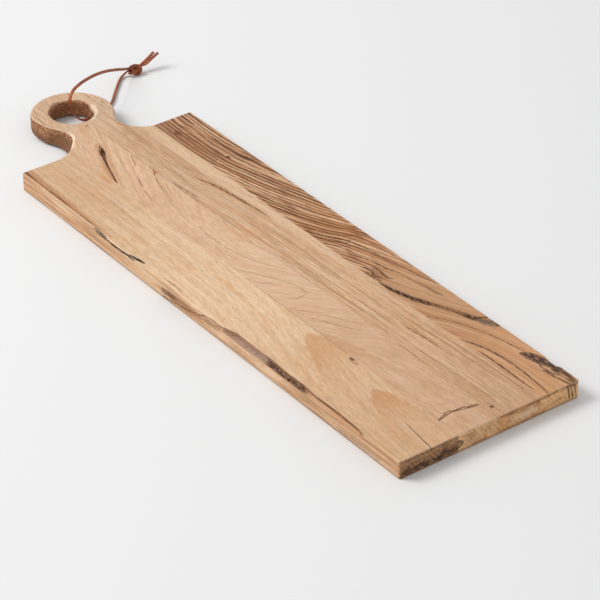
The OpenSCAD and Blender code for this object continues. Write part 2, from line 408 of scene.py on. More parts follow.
# %% [markdown]
# ## Growth rings
# A tree adds a ring each year: pale and soft in spring, then denser and darker. Sawn along the trunk, the
# rings become lines. Here a saw-tooth runs across the stave, each tooth ends in a dark late-wood line, and
# a random number for each ring makes some lines strong and some faint.

# %% Group: growth rings
rings_group, at, out = new_group("Growth rings", ["Across", "Along", "Up", "Width", "Lean", "Sway", "Late"],
                                 ["Line", "Core"])
drift = noise(scaled((at["Across"], 0.035), (at["Along"], 0.009), (at["Up"], 0.04)))
sway = times(calc("SUBTRACT", drift, 0.5), at["Sway"])
slanted = calc("MULTIPLY_ADD", at["Up"], at["Lean"], at["Across"])
ripple = noise(scaled((at["Across"], 0.5), (at["Along"], 0.11), (at["Up"], 0.5)), detail=2)
slanted = calc("MULTIPLY_ADD", ripple, 1.1, slanted)
year = calc("DIVIDE", calc("ADD", slanted, sway), at["Width"])
uneven = noise(scaled((year, 0.6), 0, 0), detail=1)
year = calc("MULTIPLY_ADD", uneven, 1.5, year)
season = calc("FRACT", year)
strength = add(rings_group, "TexWhiteNoise", {"W": calc("FLOOR", year)}, noise_dimensions="1D").outputs[0]
early = calc("SUBTRACT", 0.94, at["Late"])
late = times(fade(season, early, 0.94), fade(season, 1, 0.95))
broken = noise(scaled((year, 0.9), (at["Along"], 0.02), 3))
line = times(late, calc("MULTIPLY_ADD", strength, 0.75, 0.25))
feed(out["Line"], times(line, fade(broken, 0.32, 0.56, 0.35, 1)))
feed(out["Core"], times(fade(line, 0.55, 0.85), fade(broken, 0.48, 0.6)))
print("group:", rings_group.name)

# %% [markdown]
# ## Fibres
# Wood is a bundle of long hollow fibres. Noise stretched far along the grain gives bands, streaks, single
# fibres and open pores, which differ only in their size and in how long they are drawn out.

# %% Group: fibres
fibres_group, at, out = new_group("Fibres", ["Across", "Along", "Up"],
                                  ["Band", "Streak", "Fibre", "Pore", "Cloud"])


def stretched(scale, length):
    """Place on the board, scaled so that a lump of noise is long in the grain's direction."""
    return scaled((at["Across"], scale), (at["Along"], scale / length), (at["Up"], scale))


feed(out["Band"], noise(stretched(0.15, 30), detail=3))
feed(out["Streak"], noise(stretched(0.55, 35), detail=3, roughness=0.65))
feed(out["Fibre"], noise(stretched(0.7, 8), detail=3, roughness=0.7))
feed(out["Pore"], fade(noise(stretched(0.85, 7), detail=2), 0.58, 0.7))
feed(out["Cloud"], noise(stretched(0.05, 2.5), detail=4, roughness=0.6))
print("group:", fibres_group.name)

# %% [markdown]
# ## Marks that follow a line
# Cracks, bark pockets and mineral streaks run along the grain. Each is drawn as a few points with a half
# width, and two curves give the middle and the width at every place along it. The group turns the distance
# from that line into a mask with a frayed edge.

# %% Group: line mark
mark_group, at, out = new_group("Line mark",
                                ["Along", "Across", "Middle", "Half width", "Fray", "Soft", "Ragged"],
                                ["Mask"])
rough = noise(scaled((at["Along"], 0.3), (at["Across"], 0.45), 0))
offset = calc("MULTIPLY_ADD", calc("SUBTRACT", rough, 0.5), at["Fray"], at["Across"])
away = calc("ABSOLUTE", calc("SUBTRACT", offset, at["Middle"]))
near = calc("SUBTRACT", at["Half width"], at["Soft"])
far = calc("ADD", at["Half width"], at["Soft"])
mask = calc("SUBTRACT", 1, fade(away, near, far))
mask = times(mask, fade(at["Half width"], 0.02, 0.3))
grit = noise(scaled((at["Along"], 0.13), (at["Across"], 0.5), 4), detail=4, roughness=0.65)
holes = times(fade(grit, 0.52, 0.42), at["Ragged"])
feed(out["Mask"], times(mask, calc("SUBTRACT", 1, holes)))


def line_mark(along, across, points, fray=0.8, soft=0.25, ragged=0.5):
    """Mask of a mark drawn through (across, along, half width) points."""
    middle = drawn(along, [(y, x) for x, y, w in points])
    width = drawn(along, [(y, w) for x, y, w in points])
    ends = sorted(y for x, y, w in points)
    inside = times(calc("GREATER_THAN", along, ends[0]), calc("LESS_THAN", along, ends[-1]))
    mask = use_group(tree_of(along), mark_group, Along=along, Across=across, Middle=middle,
                     Half_width=width, Fray=fray, Soft=soft, Ragged=ragged)
    return times(mask[0], inside)


def spot_mark(along, across, centre, size, fray=0.5):
    """Mask of an oval spot: centre and half sizes as (across, along)."""
    dx = calc("DIVIDE", calc("SUBTRACT", across, centre[0]), size[0])
    dy = calc("DIVIDE", calc("SUBTRACT", along, centre[1]), size[1])
    rough = noise(scaled((across, 1.2 / size[0]), (along, 1.2 / size[1]), 7))
    away = calc("SQRT", calc("ADD", times(dx, dx), times(dy, dy)))
    return fade(calc("MULTIPLY_ADD", calc("SUBTRACT", rough, 0.5), fray * 2, away), 1, 0.45)


print("group:", mark_group.name)

# %% [markdown]
# ## Worn rims of the handle, with painted highlight and shade
# Two edges of the handle are painted pale: the hollow on the left of the neck and the right rim of the hole.
# Hands have rubbed them, and the pale band is also a painted highlight where their rounded edges face the
# lamp. The group measures how far a place is from those two round edges. It also finds the sawn walls of the
# handle, which cut through the fibres and therefore soak up the oil and go dark, and the wall of the hole,
# which is darkened partly as painted shade, up over the far rim.

# %% Group: worn rims with painted highlight and shade
ring_at = (ring_centre - board_corner) / MM
HOLE_RADIUS = 22.5
RING_RADIUS = 43
HOLLOW_AT = (35.3, 633)
HOLLOW_RADIUS = 36
RING_FROM = 644
RING_BLEND = 8
WEAR = [(597, 0.5), (602, 1.7), (615, 3.1), (622, 6), (632, 7.4), (647, 4.6), (665, 4), (682, 0.4),
        (690, 0)]
rim_group, at, out = new_group("Rims with wear and painted light", ["Across", "Along", "Up", "Wall"],
                               ["Hollow", "Hole", "Cut", "Inside", "Pit"])


def distance(x, y, centre):
    """How far a place is from an upright axis."""
    dx = calc("SUBTRACT", x, centre[0])
    dy = calc("SUBTRACT", y, centre[1])
    return calc("SQRT", calc("ADD", times(dx, dx), times(dy, dy)))


wobble = noise(scaled((at["Across"], 0.16), (at["Along"], 0.16), (at["Up"], 0.1)))
wobble = spread(wobble, 0.3, 0.7, -1.5, 1.5)
upper = fade(at["Up"], 12.5, 15)
from_hollow = calc("SUBTRACT", distance(at["Across"], at["Along"], HOLLOW_AT), HOLLOW_RADIUS)
from_ring = distance(at["Across"], at["Along"], ring_at)
from_hole = calc("SUBTRACT", from_ring, HOLE_RADIUS)
on_ring = fade(at["Along"], RING_FROM, RING_FROM + RING_BLEND)
from_rim = calc("SUBTRACT", calc("SUBTRACT", RING_RADIUS, from_ring), from_hollow)
from_edge = calc("MULTIPLY_ADD", on_ring, from_rim, from_hollow)
worn = calc("SUBTRACT", calc("MULTIPLY_ADD", wobble, 0.3, from_edge), drawn(at["Along"], WEAR))
neck_area = times(fade(at["Along"], 684, 674), fade(at["Across"], 46, 56))
neck_area = times(neck_area, fade(at["Across"], 96, 88))
# The pale band on the rounded edge of the hollow: partly worn, partly a painted highlight.
band = times(fade(worn, -0.2, 0.8), fade(worn, 4.5, 2.5))
band = times(band, fade(at["Along"], 638, 628))
band = times(band, fade(at["Along"], 602, 612))
feed(out["Hollow"], times(band, times(neck_area, upper)))


def towards(x, y):
    """How far a place lies in a direction from the ring's centre, as a share of its distance."""
    ahead = times(calc("SUBTRACT", at["Across"], ring_at.x), x)
    ahead = calc("MULTIPLY_ADD", calc("SUBTRACT", at["Along"], ring_at.y), y, ahead)
    return calc("DIVIDE", ahead, from_ring)


# The pale band on the right rim of the hole: partly worn, partly a painted highlight.
hole = times(fade(calc("ADD", from_hole, wobble), 5, 2.5), upper)
feed(out["Hole"], times(hole, fade(towards(0.82, -0.57), 0.66, 0.88)))
handle = fade(at["Along"], 599, 606)
worn_wall = times(fade(worn, 0.7, -0.5), neck_area)
feed(out["Cut"], calc("MAXIMUM", times(at["Wall"], handle), worn_wall))
# The hole's wall is darkened partly as painted shade; on the far side the painted shade reaches up over the
# rounded rim.
reach = fade(towards(-0.1, 0.99), 0, 0.7, 0.6, 2.6)
feed(out["Inside"], fade(calc("SUBTRACT", from_hole, reach), 0.8, -0.4))
pits = noise(scaled((at["Across"], 0.35), (at["Along"], 0.35), 5), detail=2)
rim = times(fade(from_ring, 38.5, 41.5), fade(from_ring, 45.5, 43.5))
rim = times(rim, fade(towards(-0.94, -0.34), 0.8, 0.92))
feed(out["Pit"], times(fade(pits, 0.54, 0.62), times(rim, upper)))
print("ring on the board at", tuple(ring_at))

# %% [markdown]
# ## One recipe for wood
# All four staves come from old timber with an oiled, satin finish, but each was sawn from a different
# place. The recipe takes the bend of the grain, the width of the rings and three colours, and gives back
# the sockets that each stave's own marks are then laid over.

# %% Wood recipe
CREAM = "#f0dcc0"
ORANGE = "#c88a55"
TONGUE = "#bf8350"
BROWN = "#8a5d40"
UMBER = "#5b3d2a"
SOOT = "#2a1d16"


class Wood:
    """A wood material while it is being made: its tree, its place sockets, and the colour and height so far.

    bend is the grain's sideways drift along the stave, late the share of dark late wood in a ring, and
    line_full the strength at which a ring's line is fully dark. calm says how clearly the lines show along
    the stave, and tone how light the wood is there.
    """

    def __init__(self, name, bend, ring_width, lean, sway, late, pale, middle, dark, line_full, line_amount,
                 streak_amount, calm, tone):
        self.material = bpy.data.materials.new(name)
        self.material.use_nodes = True
        tree = self.tree = self.material.node_tree
        self.at = use_group(tree, place_group)
        self.across, self.along, self.up = (self.at[axis] for axis in ("Across", "Along", "Up"))
        bent = calc("SUBTRACT", self.across, drawn(self.along, bend))
        grain = {"Across": bent, "Along": self.along, "Up": self.up}
        self.rings = use_group(tree, rings_group, **grain, Width=ring_width, Lean=lean, Sway=sway,
                               Late=late)
        self.fibres = use_group(tree, fibres_group, **grain)
        self.rims = use_group(tree, rim_group, Across=self.across, Along=self.along, Up=self.up,
                              Wall=self.at["Wall"])
        self.height = self.fibres["Fibre"]
        self.colour = tint(fade(self.fibres["Band"], 0.36, 0.64), pale, middle)
        quiet = drawn(self.along, calm)
        self.lay((fade(self.rings["Line"], 0.04, line_full), quiet), dark, line_amount)
        self.lay((fade(self.fibres["Streak"], 0.48, 0.66), quiet), dark, streak_amount)
        self.lay(fade(self.fibres["Cloud"], 0.46, 0.7), ORANGE, 0.24)
        self.lay(fade(self.along, 320, 40), ORANGE, 0.15)
        shade = spread(self.fibres["Fibre"], 0.3, 0.7, 0.83, 1.17)
        shade = times(shade, drawn(self.along, tone))
        grey = add(tree, "CombineColor", {0: shade, 1: shade, 2: shade}).outputs[0]
        self.colour = tint(1, self.colour, grey, "MULTIPLY")
        self.lay(self.fibres["Pore"], BROWN, 0.2, 0.6)
        self.top = fade(self.up, 14.5, 16.5)

    def both(self, *masks):
        """Where all the masks are."""
        mask = masks[0]
        for other in masks[1:]:
            mask = times(mask, other)
        return mask

    def lay(self, mask, colour, amount=1, depth=0):
        """Lays a colour over the wood where the mask, or each of several, is, and sinks the surface there."""
        mask = self.both(*mask) if isinstance(mask, tuple) else mask
        self.colour = tint(times(mask, amount), self.colour, colour)
        if depth:
            self.height = calc("MULTIPLY_ADD", mask, -depth, self.height)

    def line(self, points, colour, amount=1, depth=0, fray=0.8, soft=0.3, ragged=0.5):
        """A mark on the upper face, through (across, along, half width) points."""
        mask = line_mark(self.along, self.across, points, fray, soft, ragged)
        self.lay((mask, self.top), colour, amount, depth)

    def spot(self, centre, size, colour, amount=1, depth=0, fray=0.5):
        """An oval on the upper face."""
        self.lay((spot_mark(self.along, self.across, centre, size, fray), self.top), colour, amount, depth)

    def cross_line(self, points, colour, amount=1, depth=0, fray=2, soft=0.5):
        """A mark on the upper face that runs across the grain, through (along, across, half width) points."""
        self.lay((line_mark(self.across, self.along, points, fray, soft), self.top), colour, amount, depth)

    def tongue(self, points, colour, amount, full, gone):
        """A patch of colour with a sharp tip, which fades out from one place along the grain to another."""
        mask = line_mark(self.along, self.across, points, fray=5, soft=2, ragged=0)
        self.lay((mask, self.top, fade(self.along, gone, full)), colour, amount)

    def side_line(self, points, colour, amount=1, fray=0.8, soft=0.3):
        """A mark on the left wall, through (up, along, half width) points."""
        mask = line_mark(self.along, self.up, points, fray, soft)
        self.lay((mask, self.at["Left"], fade(self.across, 2, 1.2)), colour, amount, 1)

    def end_line(self, points, colour, amount=1, fray=0.8, soft=0.4):
        """A mark on the front end, through (up, across, half width) points."""
        self.lay((line_mark(self.across, self.up, points, fray, soft), self.at["Front"]), colour, amount)

    def wear_and_painted_light(self, cut_colour, hole_wall_and_shade_colour):
        """Rubbed edges and dark sawn walls, with painted highlights on the rounded edges and painted shade in
        the hole.
        """
        # Eased edges are lightened, partly as wear and partly as a painted highlight where they catch the
        # lamp.
        self.lay(self.at["Arris"], CREAM, 0.16)
        speckle = noise(scaled((self.across, 0.3), (self.along, 0.3), (self.up, 0.7)), detail=4,
                        roughness=0.7)
        self.lay(self.rims["Cut"], cut_colour, 0.9)
        self.lay((self.rims["Cut"], fade(speckle, 0.5, 0.66)), UMBER, 0.5)
        self.lay((self.rims["Cut"], fade(speckle, 0.44, 0.3)), ORANGE, 0.35)
        neck_area = self.both(fade(self.up, 6, 12), fade(self.along, 648, 658), fade(self.across, 76, 67))
        chips = calc("MAXIMUM", neck_area, fade(self.up, 12, 16))
        self.lay((self.rims["Cut"], chips, fade(speckle, 0.58, 0.44)), "#c79468", 0.6)
        # The hole's wall is darkened, partly as painted shade.
        self.lay(self.rims["Inside"], hole_wall_and_shade_colour, 0.86)
        self.lay((self.rims["Inside"], fade(speckle, 0.47, 0.36)), "#cb9566", 0.7)
        self.lay((self.rims["Inside"], fade(speckle, 0.5, 0.6)), UMBER, 0.6)
        # Pale rims of the hollow and the hole: partly worn, partly a painted highlight.
        for rim in ("Hollow", "Hole"):
            self.lay(self.rims[rim], CREAM, 0.75)
        self.lay(self.rims["Pit"], UMBER, 0.8, 2)

    def end_grain(self, colour, dark, amount):
        """The sawn front end: short vessels in a mottled ground, with painted contact shade along its foot.
        """
        slant = calc("MULTIPLY_ADD", self.up, 0.7, self.across)
        fleck = noise(scaled((slant, 0.4), 0, (self.up, 0.12)), detail=4, roughness=0.7)
        patch = noise(scaled((self.across, 0.07), 2, (self.up, 0.22)))
        self.lay(self.at["Front"], colour, 0.8)
        self.lay((self.at["Front"], fade(fleck, 0.42, 0.64)), dark, amount)
        self.lay((self.at["Front"], fade(patch, 0.5, 0.66)), dark, amount)
        # Painted contact shade along the foot of the end.
        self.lay((self.at["Front"], fade(self.up, 4, 0.5)), UMBER, 0.5)

    def finish(self):
        """Joins the colour and the height to an oiled, satin surface."""
        tree = self.tree
        shader = tree.nodes["Principled BSDF"]
        feed(shader.inputs["Base Color"], self.colour)
        feed(shader.inputs["Roughness"], spread(self.fibres["Fibre"], 0.2, 0.8, 0.64, 0.5))
        bump = add(tree, "Bump", {"Height": self.height, "Strength": 0.5, "Distance": 0.0004})
        feed(shader.inputs["Normal"], bump.outputs[0])
        shader.inputs["Specular IOR Level"].default_value = 0.15
        return self.material


print("shared colours:", CREAM, ORANGE, TONGUE, BROWN, UMBER, SOOT)

# %% [markdown]
# ## Left stave
# The left stave is pale and straight-grained. Bark was left in its upper edge, a long crack follows that
# edge, and two tongues of orange heartwood reach in from the front. Its end was cut through a dark heart.

# %% Left stave
left = Wood(
    "wood_left",
    bend=[(0, -45), (100, -38), (182, -25), (227, -15), (300, -3), (350, 0), (597, 0)],
    ring_width=7, lean=0.5, sway=8, late=0.4,
    pale="#e0c09f", middle="#d8b490", dark="#a0714d",
    line_full=0.9, line_amount=0.26, streak_amount=0.2,
    calm=[(0, 0.3), (250, 0.4), (360, 0.8), (597, 1)],
    tone=[(0, 0.9), (60, 0.92), (180, 1), (300, 1.03), (420, 1), (535, 0.92), (640, 0.88)],
)
left.lay(fade(left.along, 450, 540), ORANGE, 0.13)
left.lay(fade(left.along, 120, 40), ORANGE, 0.1)
left.tongue([(47.5, 99, 0), (47, 93, 5), (46, 82, 11), (44, 66, 15), (43, 40, 18), (43, 10, 20)], TONGUE,
            0.55, full=86, gone=28)
left.tongue([(56, 204, 0), (54, 196, 6), (53, 187, 10.5), (50, 167, 15), (45, 147, 21), (42, 120, 24),
             (42, 90, 24)], TONGUE, 0.5, full=186, gone=108)
left.line([(39.7, 44, 0), (37, 24, 0.4), (34, -1, 0.6)], UMBER, 0.9, 1.5, fray=0.6)
left.line([(6, 600, 5), (5, 570, 4), (4.5, 520, 3.2), (4, 480, 2.2), (4, 440, 0)], "#a8693f", 0.6, soft=2,
          fray=3, ragged=0.2)
left.line([(3.4, 600, 1.6), (3.4, 585, 1.3), (3.2, 560, 0.5), (3.4, 545, 1.1), (3.4, 525, 0.9),
           (3.2, 500, 0.3), (3, 480, 0.5), (2.6, 462, 0.4)], "#5f3522", 0.85, 0.8, fray=1.6, soft=0.7,
          ragged=0.3)
left.line([(1, 472, 0), (0.5, 460, 0.9), (0, 448, 1.2)], SOOT, 1, 2, fray=1, ragged=0.1)
left.line([(0, 410, 1.2), (1.2, 402, 1.5), (2.4, 395, 1.5), (3.4, 387, 0)], SOOT, 1, 2, fray=1.4,
          ragged=0.1)
left.line([(3.6, 357, 0), (4, 342, 0.5), (3.2, 326, 0)], UMBER, 0.8, 1)
left.spot((60.5, 536), (5, 15), ORANGE, 0.45)
left.spot((61.8, 146), (2.4, 4.2), UMBER, 0.85)
left.spot((60.5, 142), (4, 9), BROWN, 0.3)
left.line([(63.6, 300, 0), (63.7, 280, 0.4), (63.7, 180, 0.45), (63.6, 150, 0)], BROWN, 0.4, 0.5, fray=0.2)
print("left stave drawn, nodes:", len(left.tree.nodes))

# %% [markdown]
# The bark seam is a rough step in the upper left edge. Its wall is grey and smooth at the back end,
# crumbled and almost black in the middle, and a thin dark line at the front. The left wall below it carries
# a long crack, a dark knot and a few ray marks.

# %% Bark seam and left wall
seam = left.both(fade(left.up, 18.9, 18.5), fade(left.up, 13.2, 14.2), fade(left.across, 5.6, 5),
                 fade(left.along, 48, 54), fade(left.along, 259, 254))
crumbs = noise(scaled((left.across, 0.5), (left.along, 0.28), (left.up, 0.5)), detail=4, roughness=0.7)
crumbled = left.both(seam, fade(left.along, 198, 188), fade(left.along, 122, 136))
crack = left.both(seam, fade(left.along, 142, 128))
left.lay(seam, "#a58a7e", 0.85)
left.lay((seam, fade(crumbs, 0.5, 0.62)), "#7f6458", 0.6)
left.lay((seam, fade(left.up, 16, 17.6)), "#5d463a", 0.55)
left.lay(crumbled, "#7d5a45", 0.85)
left.lay((crumbled, fade(crumbs, 0.49, 0.58)), SOOT, 0.85, 3)
left.lay((crumbled, fade(crumbs, 0.42, 0.34)), "#b5a094", 0.75)
left.lay(crack, "#d6aa84", 0.9)
left.lay((crack, fade(left.up, 15.2, 16.2), fade(crumbs, 0.38, 0.46)), SOOT, 0.9, 1)
left.lay(left.at["Left"], "#c28c5c", 0.24)
streaks = noise(scaled(0, (left.along, 0.014), (left.up, 0.42)), detail=4)
left.lay((left.at["Left"], fade(streaks, 0.46, 0.62)), "#96633f", 0.5)
left.lay((left.at["Left"], fade(streaks, 0.46, 0.36)), CREAM, 0.34)
# Painted contact shade along the foot of the left wall.
left.lay((left.at["Left"], fade(left.up, 3.5, 0.5)), UMBER, 0.5)
left.side_line([(17.6, 257, 0.4), (17, 278, 0.6), (10.8, 298, 0.6), (5.8, 323, 0.7), (2, 353, 0.6)], UMBER,
               0.9)
left.side_line([(18.6, 460, 0.4), (17.2, 446, 0.9), (16.3, 435, 1.3), (16.5, 424, 1.3), (17.2, 414, 1.2),
                (18.8, 403, 0.9)], SOOT, 1)
left.side_line([(12, 262, 2.5), (10, 300, 3.5), (9, 330, 4.5), (9, 346, 3), (8, 362, 0)], "#8a5a3c", 0.55,
               fray=6, soft=2)
left.side_line([(9, 330, 0), (9, 338, 2.2), (8.5, 347, 2.6), (8, 356, 0)], SOOT, 0.6, fray=6, soft=2.2)
for points in ([(9, 126, 0), (8, 136, 3), (9, 148, 0)], [(8, 146, 0), (10, 157, 3), (7, 168, 0)]):
    left.side_line(points, BROWN, 0.3, fray=9, soft=4)
left.side_line([(5, 25, 0), (5, 45, 2), (5, 70, 2.2), (5, 88, 0)], "#8f7a6b", 0.5, fray=5, soft=1.5)
left.side_line([(14, -2, 1.2), (14.5, 40, 1), (15, 90, 0.8), (15, 130, 0)], "#9c5c3a", 0.5, fray=3, soft=1)
left.side_line([(6, 380, 2), (7, 450, 3), (6, 520, 3), (5, 600, 4)], ORANGE, 0.2, fray=6, soft=2)
print("seam and wall drawn, nodes:", len(left.tree.nodes))

# %% [markdown]
# The front end shows the wood cut across. This stave was cut through its dark heart, so its end is a
# mottled brown with two darker patches and a paler line near the top.

# %% End of the left stave
left.end_grain("#9b6e48", "#5c3d28", 0.72)
left.end_line([(14.5, 0, 1.4), (14, 20, 1), (15, 40, 1.5), (14, 64, 1.2)], "#b08a66", 0.6, fray=3, soft=1)
for points in ([(6, 2, 0), (5.5, 8, 3), (5, 16, 2.6), (6, 24, 3), (5, 34, 0)],
               [(6, 34, 0), (5, 42, 2.8), (7, 50, 3.2), (6, 57, 2.6), (9, 66, 4)]):
    left.end_line(points, SOOT, 0.78, fray=7, soft=2)
print("left end drawn, nodes:", len(left.tree.nodes))

# %% [markdown]
# ## Centre left stave
# This stave carries the left half of the handle. Its grain swings across it, so the rings come out as
# arches, and an open check runs down from the neck.

# %% Centre left stave
centre_left = Wood(
    "wood_centre_left",
    bend=[(0, 160), (60, 155), (132, 144), (177, 112), (220, 82), (260, 50), (300, 22), (330, 5), (350, 1),
          (400, 0), (450, 6), (500, 20), (560, 42), (600, 58), (710, 95)],
    ring_width=9, lean=0.7, sway=8, late=0.35,
    pale="#dfbc9c", middle="#dab290", dark="#a2744f",
    line_full=0.8, line_amount=0.42, streak_amount=0.26,
    calm=[(0, 0.14), (380, 0.18), (450, 0.4), (500, 0.65), (620, 0.6), (720, 0.8)],
    tone=[(0, 0.86), (60, 0.88), (180, 0.9), (300, 0.95), (420, 0.95), (535, 0.96), (620, 0.92),
          (660, 0.86), (711, 0.84)],
)
centre_left.line([(91, 600, 0), (86, 583, 6), (77, 562, 6), (68, 540, 5), (62, 520, 0)], "#b07440", 0.4,
                 soft=4, fray=6, ragged=0)
centre_left.line([(77, 564, 0), (73, 552, 1), (69, 540, 1.2), (64, 525, 0.9), (61, 518, 0)], "#6f4d3e", 0.8,
                 0.8, fray=1.6, soft=0.6, ragged=0.3)
centre_left.line([(91, 596, 0), (88.5, 590, 1.8), (85.6, 583, 3.4), (82.5, 575, 2.4), (79.5, 568, 1.5),
                  (75.5, 558, 0.9), (72, 549, 0)], "#503729", 0.9, 0.8, fray=2.4, soft=0.7, ragged=0.35)
centre_left.cross_line([(27, 64, 0.7), (30, 72, 1.2), (32.5, 79, 1), (29.5, 86, 1.6), (30, 92, 1),
                        (27, 98, 1.7), (25, 108, 1)], "#74493a", 0.85, 1, fray=4)
centre_left.spot((106, 518), (6, 4), ORANGE, 0.8)
centre_left.line([(107, 525, 0), (105, 519, 1), (101, 514, 0)], BROWN, 0.9)
centre_left.tongue([(64, 200, 0), (66, 184, 5), (68, 160, 9), (70, 130, 12), (72, 90, 14)], TONGUE, 0.4,
                   full=176, gone=100)
for points in ([(99.5, 511, 0), (97, 500, 0.6), (93.5, 490, 0.5), (92.6, 483, 0)],
               [(106, 562, 0), (101, 549, 0.5), (96, 537, 0)],
               [(90, 527, 0), (86, 520, 0.5), (83, 511, 0.9), (80, 502, 0)],
               [(78, 497, 0), (76, 488, 0.5), (74, 478, 0)]):
    centre_left.line(points, BROWN, 0.85, 0.8, fray=1.4)
for points in ([(64, 326, 0.5), (72, 318, 0.8), (80, 303, 0.9), (88, 288, 0.9), (93, 274, 0.9),
                (95, 262, 0.8), (93, 254, 0.4)],
               [(66, 245, 0.5), (74, 233, 0.9), (82, 223, 1), (92, 205, 1), (103, 184, 0.5)],
               [(71, 223, 0.4), (83, 200, 0.9), (96, 176, 0.4)],
               [(82, 410, 0.4), (80, 380, 0.8), (84, 345, 0.8), (95, 315, 0.7), (104, 300, 0.3)]):
    centre_left.line(points, "#a3774f", 0.55, soft=0.7, fray=1.2)
centre_left.cross_line([(266, 66, 0.6), (259, 74, 0.9), (254, 83, 1), (254, 92, 0.6)], "#a3774f", 0.5,
                       soft=0.7, fray=1)
centre_left.line([(107.4, 640, 0), (107.3, 600, 0.45), (107.2, 480, 0.5), (107.3, 430, 0)], BROWN, 0.7, 0.5,
                 fray=0.3)
centre_left.line([(64.2, 300, 0), (64.2, 280, 0.4), (64.2, 180, 0.45), (64.2, 150, 0)], BROWN, 0.4, 0.5,
                 fray=0.2)
for points in ([(70.5, 690, 0), (70, 676, 0.7), (70.6, 662, 0.6), (73, 648, 0)],
               [(76, 698, 0), (75.5, 686, 0.5), (76, 676, 0)],
               [(84, 708, 0), (83, 694, 0.5), (83.5, 684, 0)]):
    centre_left.line(points, "#7d5238", 0.55, 0.6, fray=1.8, soft=0.5)
centre_left.cross_line([(690, 92, 0.3), (693, 97, 0.7), (694.5, 102, 0.8), (694, 107, 0.3)], "#6a442e", 0.8,
                       0.8, fray=1.4)
centre_left.spot((102.5, 636), (2.2, 2.6), BROWN, 0.8)
centre_left.end_grain("#e8b986", "#916440", 0.56)
centre_left.end_line([(9, 63.5, 4.5), (9.5, 67, 3.4), (10, 71, 0)], SOOT, 0.85, fray=3)
print("centre left stave drawn, nodes:", len(centre_left.tree.nodes))

# %% [markdown]
# ## Centre right stave
# Sawn square to the rings, this stave has tight straight lines and a pale, smooth strip along its right
# side. Two dark mineral streaks run along it.

# %% Centre right stave
centre_right = Wood(
    "wood_centre_right",
    bend=[(0, 16), (300, 12), (392, 10), (422, 8), (460, 4), (490, 0), (710, 0)],
    ring_width=3.8, lean=0.9, sway=5, late=0.45,
    pale="#dcb997", middle="#d0a783", dark="#8c5f40",
    line_full=0.9, line_amount=0.55, streak_amount=0.36,
    calm=[(0, 1), (720, 1)],
    tone=[(0, 0.86), (60, 0.89), (180, 0.96), (300, 1), (420, 0.96), (535, 0.9), (711, 0.9)],
)
centre_right.line([(150, 640, 5), (150, 560, 7), (150, 460, 7), (151, 380, 6), (153, 300, 4),
                   (156, 220, 0)], "#dfc0a0", 0.6, soft=2.5, fray=4)
centre_right.line([(131, 496, 0), (134, 478, 2.4), (138.5, 460, 3), (143, 422, 3.2), (145, 400, 2.5),
                   (147, 375, 0)], ORANGE, 0.35, soft=2.5)
centre_right.line([(131.6, 490, 0), (134, 478, 0.8), (138.5, 460, 1.2), (143, 422, 1.4), (145, 400, 0.9),
                   (146, 380, 0)], "#50321f", 0.85, 1, soft=0.5, fray=3, ragged=0.85)
centre_right.line([(108.5, 500, 0), (109, 484, 1.6), (110, 472, 2.2), (111, 462, 1.6), (112, 452, 0)],
                  "#72482e", 0.62, soft=1.6, fray=3, ragged=0.8)
centre_right.line([(132.5, 165, 0), (134, 140, 1.4), (136, 125, 1.2), (136.5, 108, 0)], "#74482a", 0.7,
                  soft=1, fray=2, ragged=0.8)
for points in ([(112, 330, 0), (114, 290, 0.8), (116, 240, 0.8), (118, 200, 0)],
               [(122, 300, 0), (124, 240, 0.7), (127, 170, 0)],
               [(141, 170, 0), (144, 130, 0.9), (146, 80, 0.8), (147, 40, 0)],
               [(118, 130, 0), (121, 80, 0.9), (123, 20, 0.7)],
               [(126, 560, 0), (128, 520, 0.6), (129, 480, 0)],
               [(150, 120, 0), (153, 80, 0.8), (154, 20, 0.8)]):
    centre_right.line(points, "#9a6c49", 0.7, soft=0.5)
centre_right.lay(fade(centre_right.along, 590, 650), CREAM, 0.18)
for points in ([(130, 650, 0), (131, 625, 0.7), (131, 590, 0.8), (131.5, 560, 0)],
               [(133.5, 632, 0), (134, 600, 0.6), (134, 560, 0)]):
    centre_right.line(points, "#8a5a3c", 0.6, soft=0.5, fray=1.4)
for points in ([(136, 694, 0), (137, 676, 0.7), (136.5, 650, 0)],
               [(142, 682, 0), (142.5, 666, 0.6), (141, 648, 0)],
               [(122, 716, 0), (123, 704, 0.6), (122.6, 694, 0)]):
    centre_right.line(points, "#8a5a3c", 0.65, 0.6, soft=0.5, fray=1.4)
centre_right.spot((114.6, 15.6), (2.4, 2.8), UMBER, 0.9)
centre_right.end_grain("#e2ac75", "#935f38", 0.55)
centre_right.end_line([(18.6, 100, 0.6), (18, 114, 1.4), (17.4, 124, 2), (18, 136, 1.2), (17.6, 148, 1.8),
                       (18, 160, 1.2)], "#774a26", 0.7, fray=4, soft=0.9)
centre_right.end_line([(8, 122, 0), (8.5, 132, 3), (9, 144, 4), (8, 155, 0)], CREAM, 0.45, fray=5, soft=2)
print("centre right stave drawn, nodes:", len(centre_right.tree.nodes))

# %% [markdown]
# ## Right stave
# The right stave is the darkest. Its rings stand out as strong brown lines that bend across the stave
# towards a knot, and a pocket of grey bark crosses it below. Towards the front it turns to a lighter orange
# brown.

